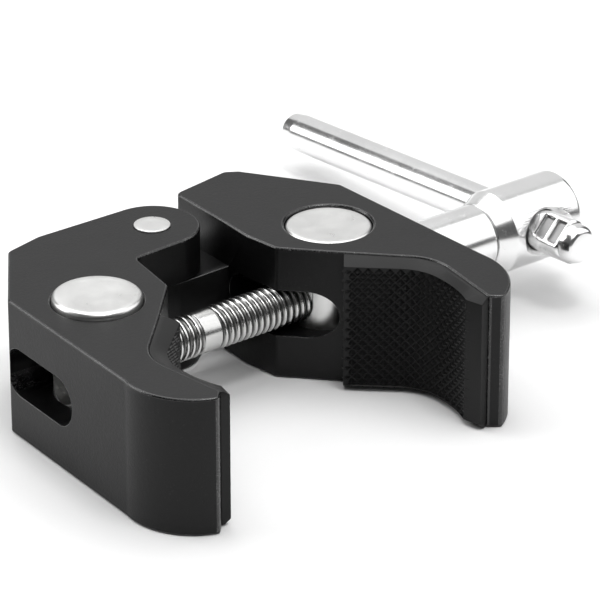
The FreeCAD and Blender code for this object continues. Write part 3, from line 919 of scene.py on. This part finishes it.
class CLAMP_OT_crossbar(bpy.types.Operator):
    """Sliding crossbar: the near end is pressed wider than the hole in the head, the far end is plain"""
    bl_idname = "clamp.crossbar"
    bl_label = "Crossbar"

    def execute(self, context):
        chrome = chrome_finish("Crossbar chrome", context.scene.clamp_finishes.chrome, 0.14, (1.0, 0.05, 1.0))
        low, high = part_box("crossbar")
        centre, radius = bar_centre(), BAR_RADIUS
        far = (high.y - SCREW.y) / BAR_OUT.y - 0.22 * MM
        near = (SCREW.y - low.y) / BAR_OUT.y - 0.22 * MM
        side = (X + Z).normalized()
        side = (side - BAR_OUT * side.dot(BAR_OUT)).normalized()
        flat = BAR_OUT.cross(side)
        if flat.x > 0:
            flat = -flat
        # painted shade: faces inside the pressed pockets take the chrome at about a third of its brightness, and
        # rougher
        pocket_shade_colour = tuple(0.34 * c for c in context.scene.clamp_finishes.chrome)
        pocket_painted_shade = chrome_finish("Struck pocket painted shade", pocket_shade_colour, 0.34)
        shape, steps, rings, pocket = bmesh.new(), 144, [], set()
        for along in self.stations(near, far):
            inset = min(far - along, along + near)
            near_end = along < 0
            dome = radius * self.dome(inset, near_end)
            ring = []
            for step in range(steps):
                turn = math.tau * step / steps
                wide, tall = math.cos(turn), math.sin(turn)
                reach = self.section(turn, inset, radius, near_end)
                reach = min(reach, dome) if inset < 2.3 * MM else reach
                dent = self.dent(inset, reach * wide, abs(tall)) if near_end else 0.0
                place = centre + BAR_OUT * along + side * (reach * wide) + flat * (reach * tall)
                ring.append(shape.verts.new(place - flat * (dent * math.copysign(1, tall))))
                if dent > 0.12 * MM:
                    pocket.add(ring[-1])
            rings.append(ring)
        for here, after in zip(rings, rings[1:]):
            for step in range(steps):
                follow = (step + 1) % steps
                corners = [here[step], here[follow], after[follow], after[step]]
                # faces wholly inside a pocket get the painted-shade chrome
                shape.faces.new(corners).material_index = int(pocket.issuperset(corners))
        for ring, along in ((rings[0], -near), (rings[-1], far)):
            tip = shape.verts.new(centre + BAR_OUT * along)
            for step in range(steps):
                shape.faces.new([ring[step], ring[(step + 1) % steps], tip])
        bar = shade(new_piece("sliding_crossbar", shape, chrome, pocket_painted_shade), 28)
        fit(bar, "crossbar", "crossbar_body")
        return {"FINISHED"}

    def stations(self, near, far):
        """Distances from the screw axis where the bar gets a ring: close together at both ends."""
        fine = [step * 0.09 * MM for step in range(1, 110)]
        plain = 12
        start, end = -near + fine[-1], far - fine[-1]
        middle = [start + (end - start) * step / plain for step in range(1, plain)]
        insets = [0.004 * MM] + fine
        return [-near + inset for inset in insets] + middle + [far - inset for inset in insets[::-1]]

    def dome(self, inset, near_end):
        """Radius of the tip as a share of the bar's: rounded at the near end, a slight taper at the far one."""
        if not near_end:
            return min(1.0, 0.80 + 0.12 * min(1.0, inset / (0.3 * MM)) + 0.08 * inset / (2.3 * MM))
        share = min(1.0, inset / (1.9 * MM))
        return 0.62 + 0.38 * math.sqrt(max(0.0, 1 - (1 - share) ** 2))

    def pressed(self, inset):
        """0 on the plain bar, 1 in the pressed zone."""
        start, end = 2.0 * MM, 9.4 * MM
        rise = min(1.0, max(0.0, (inset - start) / (0.36 * MM)))
        fall = min(1.0, max(0.0, (end - inset) / (2.5 * MM)))
        return min(rise, fall)

    def section(self, turn, inset, radius, near_end):
        """Distance to the surface in one direction. The near end is pressed flat on two sides, which
        squeezes the metal out beside the flats; the rest of the bar is round."""
        pressed = self.pressed(inset)
        if not near_end or pressed == 0.0:
            return radius
        tall = abs(math.sin(turn))
        squeezed = radius + 0.36 * MM * pressed * min(1.0, max(0.0, (tall - 0.1) / 0.5))
        burr = max(0.0, 1 - abs(inset - 3.4 * MM) / (1.2 * MM)) * max(0.0, math.cos(turn) - 0.9) / 0.1
        leaning = max(0.0, inset - 5.6 * MM) / (3.6 * MM)
        flat = (2.38 + 0.62 * leaning) * MM
        flat += (radius + 0.1 * MM - flat) * (1 - pressed) if inset < 3 * MM else 0.0
        return min(squeezed + 0.38 * MM * burr, flat / max(0.05, tall))

    def dent(self, inset, wide, tall):
        """Depth of the two pockets left by the pressing tool on each flat."""
        if tall < 0.3:
            return 0.0
        depth = 0.0
        for middle in (3.75 * MM, 6.15 * MM):
            along = max(0.0, 1 - max(0.0, abs(inset - middle) - 0.82 * MM) / (0.18 * MM))
            sideways = max(0.0, 1 - max(0.0, abs(wide) - 1.5 * MM) / (0.25 * MM))
            depth = max(depth, along * sideways * 0.5 * MM)
        return depth


class CLAMP_OT_stage(bpy.types.Operator):
    """White paper floor, soft studio lights and the camera"""
    bl_idname = "clamp.stage"
    bl_label = "Stage"

    def execute(self, context):
        stage, scene = context.scene.clamp_stage, context.scene
        floor_shape = bmesh.new()
        bmesh.ops.create_grid(floor_shape, x_segments=4, y_segments=4, size=2.0)
        floor = new_piece("paper_floor", floor_shape, floor_finish(stage.floor))

        world = bpy.data.worlds.new("Studio")
        world.use_nodes = True
        world.node_tree.nodes["Background"].inputs["Color"].default_value = (1, 1, 1, 1)
        world.node_tree.nodes["Background"].inputs["Strength"].default_value = AMBIENT
        scene.world = world
        for name, place, height, size, share in LAMPS:
            self.light(name, place, (0, 0, height), size, stage.key_power * share)
        self.camera(stage)
        scene.view_settings.view_transform = "Standard"
        return {"FINISHED"}

    def light(self, name, place, target, size, power):
        lamp = bpy.data.lights.new(name, "AREA")
        lamp.shape, lamp.size, lamp.energy = "SQUARE", size, power
        holder = bpy.data.objects.new(name, lamp)
        holder.location = place
        holder.rotation_euler = (Vector(target) - Vector(place)).to_track_quat("-Z", "Y").to_euler()
        bpy.context.scene.collection.objects.link(holder)

    def camera(self, stage):
        low, high = Vector(CAD_BOX[0]), Vector(CAD_BOX[1])
        target = (low + high) / 2 + AIM
        turn, rise = stage.azimuth, stage.elevation
        back = Vector((math.sin(turn) * math.cos(rise), -math.cos(turn) * math.cos(rise), math.sin(rise)))
        lens = bpy.data.cameras.new("camera")
        lens.lens, lens.sensor_width = stage.lens, 36
        lens.clip_start, lens.clip_end = 0.01, 20
        camera = bpy.data.objects.new("camera", lens)
        camera.location = target + back * stage.distance
        camera.rotation_euler = (-back).to_track_quat("-Z", "Y").to_euler()
        bpy.context.scene.collection.objects.link(camera)
        bpy.context.scene.camera = camera


# ---------------------------------------------------------------- panel and registration

OPERATORS = (
    CLAMP_OT_jaws,
    CLAMP_OT_socket_threads,
    CLAMP_OT_pads,
    CLAMP_OT_hinge_pin,
    CLAMP_OT_barrel_nuts,
    CLAMP_OT_screw,
    CLAMP_OT_handle,
    CLAMP_OT_crossbar,
    CLAMP_OT_stage,
)


class CLAMP_PT_build(bpy.types.Panel):
    """Lists the clamp's sizes, finishes and pieces"""
    bl_idname = "CLAMP_PT_build"
    bl_label = "Super Clamp"
    bl_space_type = "VIEW_3D"
    bl_region_type = "UI"
    bl_category = "Clamp"

    def draw(self, context):
        for group in (context.scene.clamp_sizes, context.scene.clamp_finishes, context.scene.clamp_stage):
            box = self.layout.box()
            for name in group.__annotations__:
                box.prop(group, name)
        for operator in OPERATORS:
            self.layout.operator(operator.bl_idname)


GROUPS = {"clamp_sizes": ClampSizes, "clamp_finishes": ClampFinishes, "clamp_stage": ClampStage}


def register():
    for made in (*GROUPS.values(), *OPERATORS, CLAMP_PT_build):
        bpy.utils.register_class(made)
    for name, group in GROUPS.items():
        setattr(bpy.types.Scene, name, PointerProperty(type=group))


def unregister():
    for name in GROUPS:
        delattr(bpy.types.Scene, name)
    for made in reversed((*GROUPS.values(), *OPERATORS, CLAMP_PT_build)):
        bpy.utils.unregister_class(made)


def main():
    register()
    for operator in OPERATORS:
        group, name = operator.bl_idname.split(".")
        if getattr(getattr(bpy.ops, group), name)() != {"FINISHED"}:
            raise RuntimeError(f"{operator.bl_label} didn't finish")


if __name__ == "__main__":
    main()
